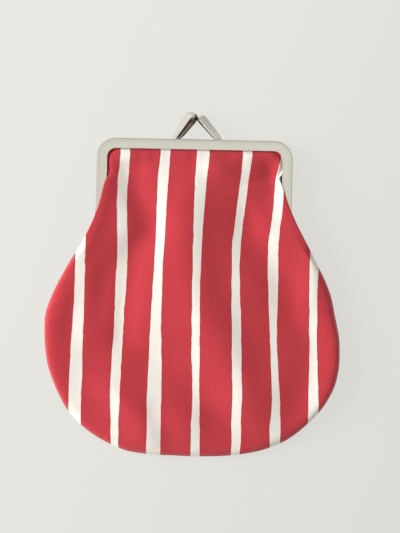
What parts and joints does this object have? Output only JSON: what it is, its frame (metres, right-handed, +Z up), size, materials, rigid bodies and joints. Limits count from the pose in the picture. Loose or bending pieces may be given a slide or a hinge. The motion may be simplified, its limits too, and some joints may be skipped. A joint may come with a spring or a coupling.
{
  "type": "kiss lock coin purse",
  "caption": "Striped cloth coin purse lying closed on its back: a hinged metal channel frame with crossed clasp tabs grips a rounded, gently filled, lined pouch.",
  "frame": {"origin": "on the table under the middle of the purse's bounding box", "axes": "+Z up from the table the closed purse lies on, +Y down the middle of the purse from the pouch's round end towards the clasp, +X to the right seen from above with the clasp away from the viewer"},
  "size_m": [0.128, 0.1494, 0.0124],
  "materials": {
    "frame_nickel": "satin",
    "clasp_nickel": "polished",
    "striped_cloth": "matte",
    "lining_cloth": "matte",
    "paper_cord": "matte",
    "sewing_thread": "matte"
  },
  "bodies": {
    "back_half": {"back_frame": "frame_nickel", "back_clasp_tab": "clasp_nickel", "left_hinge_rivet": "clasp_nickel", "right_hinge_rivet": "clasp_nickel", "back_panel": "striped_cloth", "back_lining": "lining_cloth", "back_paper_cord": "paper_cord", "front_panel_fold": "striped_cloth", "front_panel_lower": "striped_cloth", "front_lining_fold": "lining_cloth", "front_lining_lower": "lining_cloth", "outer_seam_thread": "sewing_thread", "lining_seam_thread": "sewing_thread"},
    "front_half": {"front_frame": "frame_nickel", "front_clasp_tab": "clasp_nickel", "front_paper_cord": "paper_cord", "front_panel_upper": "striped_cloth", "front_lining_upper": "lining_cloth"}
  },
  "joints": [
    {"name": "frame_hinge", "type": "hinge", "parent": "back_half", "child": "front_half", "pos_m": [-0.00038, 0.02371, 0.00535], "axis": [1, 0, 0], "range_deg": [0, 90], "deforming": ["front_panel_fold", "front_lining_fold"]}
  ]
}
